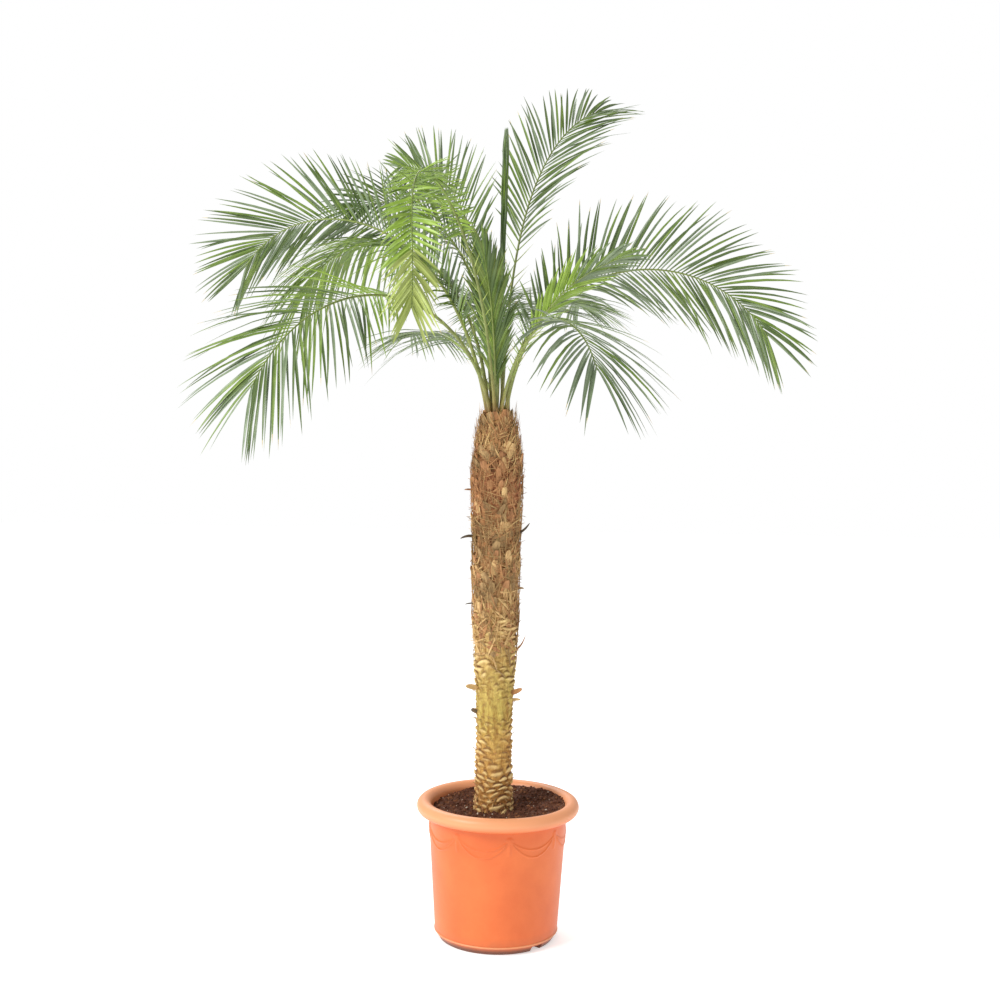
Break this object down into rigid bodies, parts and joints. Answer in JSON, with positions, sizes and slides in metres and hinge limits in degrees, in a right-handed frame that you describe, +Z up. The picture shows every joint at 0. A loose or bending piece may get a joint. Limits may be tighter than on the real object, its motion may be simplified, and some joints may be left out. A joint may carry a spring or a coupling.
{
  "type": "potted pygmy date palm",
  "caption": "Young feather palm with a rough, scarred single trunk and arching fronds of slim leaflets, growing in a round tapered plastic pot with a rolled rim.",
  "frame": {"origin": "middle of the pot's flat underside, on the surface that it stands on", "axes": "+Z up the pot's axis to the crown, +X to the right and -Y towards the viewer in the picture"},
  "size_m": [1.2194, 1.1847, 1.7025],
  "materials": {
    "pot_plastic": "satin",
    "potting_soil": "matte",
    "palm_bark": "matte",
    "leaf_dark": "satin",
    "leaf_mid": "satin",
    "leaf_bright": "satin"
  },
  "bodies": {
    "root": {"pot": "pot_plastic", "soil": "potting_soil", "trunk": "palm_bark", "spear_leaf": "leaf_bright", "frond_right_inner": "leaf_dark", "frond_right_outer": "leaf_dark", "frond_top_right": "leaf_dark", "frond_right_young": "leaf_bright", "frond_back": "leaf_mid", "frond_back_right_low": "leaf_mid", "frond_back_low": "leaf_mid", "frond_top_left": "leaf_mid", "frond_back_left_high": "leaf_mid", "frond_back_left_inner": "leaf_mid", "frond_back_left_outer": "leaf_mid", "frond_left_inner": "leaf_mid", "frond_left_outer": "leaf_mid", "frond_young": "leaf_mid", "frond_left_low_inner": "leaf_dark", "frond_left_low_outer": "leaf_dark", "frond_front_inner": "leaf_bright", "frond_front_outer": "leaf_bright", "frond_front_right_inner": "leaf_dark", "frond_front_right_outer": "leaf_dark"}
  },
  "joints": []
}
